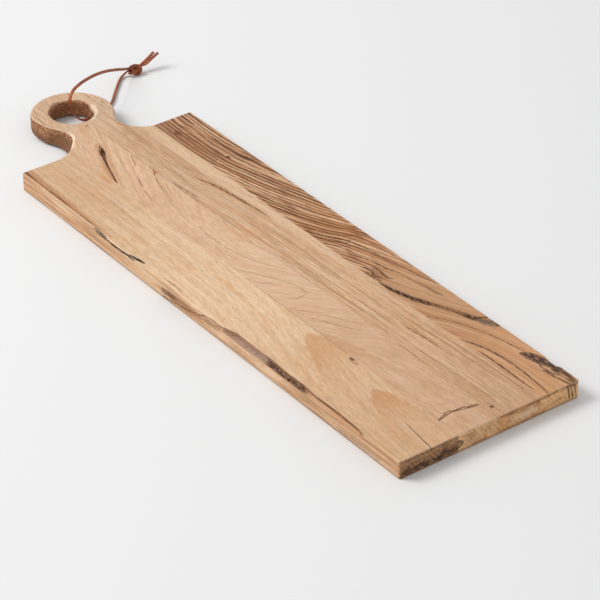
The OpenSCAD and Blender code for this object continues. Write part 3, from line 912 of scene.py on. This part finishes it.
# %% Right stave
right = Wood(
    "wood_right",
    bend=[(0, 152), (62, 150), (102, 143), (132, 133), (160, 117), (187, 107.5), (207, 100), (252, 85),
          (282, 75), (307, 66), (332, 51), (357, 40), (370, 35), (395, 27.5), (427, 17.5), (470, 7.5),
          (505, 2.5), (597, 0)],
    ring_width=5, lean=0.6, sway=10, late=0.6,
    pale="#dcb28e", middle="#bf8b64", dark="#4a2911",
    line_full=0.36, line_amount=0.95, streak_amount=0.45,
    calm=[(0, 0.12), (110, 0.15), (180, 0.22), (240, 0.3), (285, 0.8), (320, 1), (600, 1)],
    tone=[(0, 1.04), (60, 1.04), (180, 0.86), (300, 1.04), (420, 0.98), (535, 0.97), (600, 0.94)],
)
blotches = noise(scaled((right.across, 0.11), (right.along, 0.022), 1))
right.lay((fade(blotches, 0.5, 0.68), fade(right.along, 220, 300)), "#7a4a2e", 0.55)
right.lay((fade(right.along, 200, 250), fade(right.along, 400, 340)), "#a8642c", 0.16)
right.lay((right.rings["Core"], fade(right.along, 190, 260)), "#3a2010", 0.75, 1.2)
for points in ([(181, 297, 0.4), (187, 275, 0.9), (189, 257, 0.8), (192.5, 240, 1), (196, 217, 0.9),
                (201, 197, 0.4)],
               [(170, 282, 0.4), (177.5, 257, 0.9), (182.5, 237, 0.9), (186, 217, 1), (189, 197, 1.6),
                (192.5, 177, 0.6)],
               [(195, 290, 0.3), (198, 262, 0.7), (201, 232, 0.4)],
               [(160, 290, 0.3), (168, 268, 0.8), (173, 250, 0.6), (176, 236, 0.3)],
               [(176, 300, 0.3), (183, 280, 0.7), (186, 262, 0.6), (190, 235, 0.4)]):
    right.line(points, "#5a3320", 0.8, 1, fray=2, soft=0.7, ragged=0.4)
right.spot((189.5, 190), (3, 14), "#6d4430", 0.6)
for points in ([(158.5, 343, 0.6), (164, 332, 1.2), (170, 320, 1.4), (178, 308, 1.2), (185, 302, 0.5)],
               [(158.5, 330, 0.6), (163, 321, 1.3), (169, 311, 1.5), (178, 302, 1), (187, 298, 0.4)],
               [(158.5, 357, 0.5), (167, 340, 1), (176, 324, 1.2), (186, 311, 1), (193, 305, 0.4)],
               [(158.5, 316, 0.5), (163, 308, 1), (170, 300, 0.9), (178, 294, 0.4)]):
    right.line(points, "#4f301f", 0.75, 1, fray=1.6, soft=0.6, ragged=0.4)
right.line([(163, 600, 4), (164, 570, 6), (166, 530, 6), (168, 500, 0)], "#8f6248", 0.55, soft=3, fray=5,
           ragged=0.2)
right.line([(176, 250, 10), (180, 180, 18), (182, 100, 20), (180, 40, 20), (180, -2, 20)], "#c2946c", 0.42,
           soft=10, fray=8, ragged=0)
right.line([(157.5, 231, 2.6), (163.5, 205, 3), (169, 187, 3.4), (178, 165, 3.4), (187, 143, 3.8),
            (194, 125, 5), (203, 107, 5)], "#7c5338", 0.62, soft=2, fray=4)
right.line([(157.5, 231, 1.2), (163.5, 205, 1.5), (169, 187, 1.8), (178, 165, 1.6), (187, 143, 1.8),
            (194, 125, 2.4), (203, 107, 2)], "#463730", 0.9, 1, fray=3, soft=0.8, ragged=0.55)
for points in ([(161, 262, 0), (165, 250, 1.2), (163, 240, 0.8), (167, 232, 0)],
               [(168, 258, 0), (172, 246, 1), (170, 236, 1.4), (175, 226, 0)],
               [(159, 252, 0), (160, 240, 1.2), (162, 230, 0)],
               [(176, 262, 0), (178, 248, 0.9), (182, 236, 0)]):
    right.line(points, SOOT, 0.8, 1, fray=3, soft=0.5)
right.spot((167, 243), (7, 16), "#7a4c30", 0.5)
right.line([(172, 600, 6), (176, 540, 9), (181, 490, 9), (186, 440, 8), (190, 400, 0)], "#6f4229", 0.18,
           soft=5, fray=9, ragged=0.3)
right.spot((167.5, 567), (4, 7), "#5a3421", 0.7, fray=1.2)
right.spot((181, 499), (2.4, 5), "#4a2a1a", 0.8, fray=1)
for points in ([(159, 116, 0), (161, 108, 0.6), (165, 97, 1.4), (170, 74, 1.5), (171.5, 49, 1.2),
                (170, 24, 0.9), (166.5, -2, 0.6)],
               [(159.4, 89, 0), (161, 62, 1.2), (160.4, 29, 0.9), (160, 10, 0)],
               [(158.75, 160, 0.3), (175, 132, 0.7), (185, 102, 0.7), (192.5, 62, 0.5)],
               [(186.4, 32, 0), (188, 18, 1.6), (192.2, -2, 1.5)],
               [(200, 30, 0), (199, 18, 1.2), (197, -2, 1.2)],
               [(190, 40, 0), (189, 30, 1.4), (194, 12, 1), (195, -2, 0.9)],
               [(163, 190, 0), (168, 180, 1.2), (172, 172, 0)]):
    right.line(points, "#4d3020", 0.85, 1, fray=1.6, soft=0.4)
right.line([(188, 64, 0), (191, 57, 4.5), (194, 47, 6), (197, 36, 5.5), (199.5, 26, 4), (199, 12, 2.5),
            (198, -2, 2)], "#5a3f30", 0.9, 1, fray=2.5, soft=1.2, ragged=0.35)
for centre, size in (((193, 53), (4.5, 10)), ((195, 42), (5, 9)), ((198.5, 33), (4, 8)),
                     ((195.5, 24), (3, 8))):
    right.spot(centre, size, "#40312a", 0.85, 1.5, fray=1.4)
for centre, size in (((194, 48), (1.8, 4)), ((197.5, 38), (1.6, 4)), ((192.5, 57), (1.5, 3.5))):
    right.spot(centre, size, "#9a7458", 0.75, fray=0.6)
right.spot((196, 120), (9, 12), "#80695c", 0.6, 1.5, fray=1.2)
right.end_grain("#f0c08a", "#a8744a", 0.5)
for points in ([(191.8, 2, 0.4), (191, 7, 0.9), (189.8, 13, 1.3), (188.2, 19.5, 1.5)],
               [(195.8, 2, 0.4), (195, 7, 1), (193.8, 13, 1.5), (192.2, 19.5, 1.6)],
               [(198.8, 5, 0.3), (198.2, 9, 0.7), (197.2, 14, 1), (195.6, 19.5, 1.1)]):
    right.lay((line_mark(right.up, right.across, points, fray=1.6), right.at["Front"]), SOOT, 0.8)
right.end_line([(18, 156, 1.2), (17.4, 166, 1.8), (18, 176, 1.2), (17.4, 186, 1.6), (18, 204, 1)],
               "#774a26", 0.7, fray=4, soft=0.9)
print("right stave drawn, nodes:", len(right.tree.nodes))

# %% [markdown]
# ## Worn edge of the handle
# Hands have worn the upper edge back in the hollow beside the neck, so that the wall slopes there instead
# of standing upright. The sawn edge crosses the joint between two staves. Copies of both are merged, and
# the points of the edge are moved away from the hollow by one rule, so that the two stay joined.

# %% Worn staves
WORN_FROM = 10
WORN_LEFT = 40
WORN_RIGHT = 90
CUTS = (596, 601, 605, 608, 611)


def wear_at(along):
    """Depth of the wear, read off between the points that the colours use too."""
    for (y0, d0), (y1, d1) in zip(WEAR, WEAR[1:]):
        if y0 <= along <= y1:
            return d0 + (d1 - d0) * (along - y0) / (y1 - y0)
    return 0


def worn_place(place):
    """Where a point of the edge goes when the edge is worn."""
    spot = (place - board_corner) / MM
    hollow = Vector((spot.x - HOLLOW_AT[0], spot.y - HOLLOW_AT[1], 0))
    inward = Vector((ring_at.x - spot.x, ring_at.y - spot.y, 0))
    share = min(1, max(0, (spot.y - RING_FROM) / RING_BLEND))
    from_edge = (hollow.length - HOLLOW_RADIUS) * (1 - share) + (RING_RADIUS - inward.length) * share
    depth = wear_at(spot.y)
    reach = 2 * depth + 3
    if spot.z < WORN_FROM or not WORN_LEFT <= spot.x <= WORN_RIGHT or from_edge > reach:
        return place
    heading = hollow.normalized().lerp(inward.normalized(), share).normalized()
    return place + heading * depth * (1 - max(0, from_edge) / reach) * MM


def worn_stave(node):
    """A copy of a stave with its edge worn back."""
    bm = bmesh.new()
    bm.from_mesh(frame["nodes"][node].data)
    bmesh.ops.remove_doubles(bm, verts=bm.verts, dist=0.00001)
    for along in CUTS:
        geometry = bm.verts[:] + bm.edges[:] + bm.faces[:]
        bmesh.ops.bisect_plane(bm, geom=geometry, plane_co=board_corner + Vector((0, along * MM, 0)),
                               plane_no=(0, 1, 0))
    bmesh.ops.triangulate(bm, faces=bm.faces)
    moved = 0
    for vert in bm.verts:
        place = worn_place(vert.co)
        moved += place != vert.co
        vert.co = place
    bmesh.ops.recalc_face_normals(bm, faces=bm.faces)
    piece = new_object(node + "_worn", bm)
    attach(piece, "board")
    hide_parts(node)
    print(node, "points moved:", moved)
    return piece


worn_pieces = {
    "left_stave": worn_stave("left_stave"),
    "centre_left_stave": worn_stave("centre_left_stave"),
}

# %% [markdown]
# ## Dress the staves
# Each finish is closed with the same rubbed and highlighted edges, dark sawn walls and the painted shade in
# the hole, and then goes to its stave. The two worn copies take theirs in place of the CAD pieces that they
# stand for.

# %% Dress the staves
looks = {"left_stave": left, "centre_left_stave": centre_left, "centre_right_stave": centre_right,
         "right_stave": right}
for node, wood in looks.items():
    wood.wear_and_painted_light("#6d4228", "#926144")
    finished = wood.finish()
    if node in worn_pieces:
        worn_pieces[node].data.materials.append(finished)
    else:
        frame["nodes"][node].material_slots[0].material = finished
    print(node, len(wood.tree.nodes), "nodes")

# %% [markdown]
# ## Leather
# The lace is vegetable-tanned leather dyed a reddish brown. Its faces are smooth and a little glossy, its
# cut edges are darker and rough.

# %% Leather
GRAIN_SCALE = 900
CLOUD_SCALE = 90
leather = bpy.data.materials.new("lace_leather")
leather.use_nodes = True
tree = leather.node_tree
spot = add(tree, "TexCoord").outputs["Object"]
grain = add(tree, "TexNoise", {"Vector": spot, "Scale": GRAIN_SCALE, "Detail": 4}).outputs[0]
cloud = add(tree, "TexNoise", {"Vector": spot, "Scale": CLOUD_SCALE, "Detail": 3}).outputs[0]
cut_edge = add(tree, "Attribute", attribute_name="cut_edge").outputs["Fac"]
colour = tint(fade(cloud, 0.3, 0.7), "#8f4722", "#b05d2c")
colour = tint(times(fade(grain, 0.45, 0.7), 0.4), colour, "#5c2a18")
colour = tint(times(cut_edge, 0.5), colour, "#6b3320")
shader = tree.nodes["Principled BSDF"]
feed(shader.inputs["Base Color"], colour)
feed(shader.inputs["Roughness"], spread(grain, 0.3, 0.7, 0.42, 0.6))
bump = add(tree, "Bump", {"Height": grain, "Strength": 0.4, "Distance": 0.0002})
feed(shader.inputs["Normal"], bump.outputs[0])
for piece in lace_pieces:
    piece.data.materials.append(leather)
print("leather on", len(lace_pieces), "pieces")

# %% [markdown]
# ## Floor
# A plain pale floor carries the soft shadow, so that the board is seen to lie on something.

# %% Floor
FLOOR_SIZE = 4
FLOOR_GREY = (0.8, 0.8, 0.8, 1)
FLOOR_ROUGHNESS = 0.8
bm = bmesh.new()
bmesh.ops.create_grid(bm, x_segments=1, y_segments=1, size=FLOOR_SIZE)
floor = new_object("floor", bm)
floor_paint = bpy.data.materials.new("floor_paint")
floor_paint.use_nodes = True
shader = floor_paint.node_tree.nodes["Principled BSDF"]
shader.inputs["Base Color"].default_value = FLOOR_GREY
shader.inputs["Roughness"].default_value = FLOOR_ROUGHNESS
floor.data.materials.append(floor_paint)
print("floor faces:", len(floor.data.polygons))

# %% [markdown]
# ## Light
# A large lamp high on the left, behind the board, lights the upper face and the left side, and a pale sky
# fills the shade. A wide lamp gives a shadow with a soft edge, as a window does.

# %% Light
SKY_STRENGTH = 0.62
LAMP_SIZE = 2.2
LAMP_POWER = 150
LAMP_AT = (-2.5, 2.2, 3.3)
world = bpy.data.worlds.new("sky")
world.use_nodes = True
sky = world.node_tree.nodes["Background"]
sky.inputs["Color"].default_value = (1, 1, 1, 1)
sky.inputs["Strength"].default_value = SKY_STRENGTH
bpy.context.scene.world = world
lamp = bpy.data.objects.new("softbox", bpy.data.lights.new("softbox", "AREA"))
lamp.data.shape = "SQUARE"
lamp.data.size = LAMP_SIZE
lamp.data.energy = LAMP_POWER
lamp.location = LAMP_AT
lamp.rotation_euler = (-lamp.location).to_track_quat("-Z", "Y").to_euler()
bpy.context.scene.collection.objects.link(lamp)
bpy.context.scene.view_settings.view_transform = "Standard"
print("lamp at", LAMP_AT)
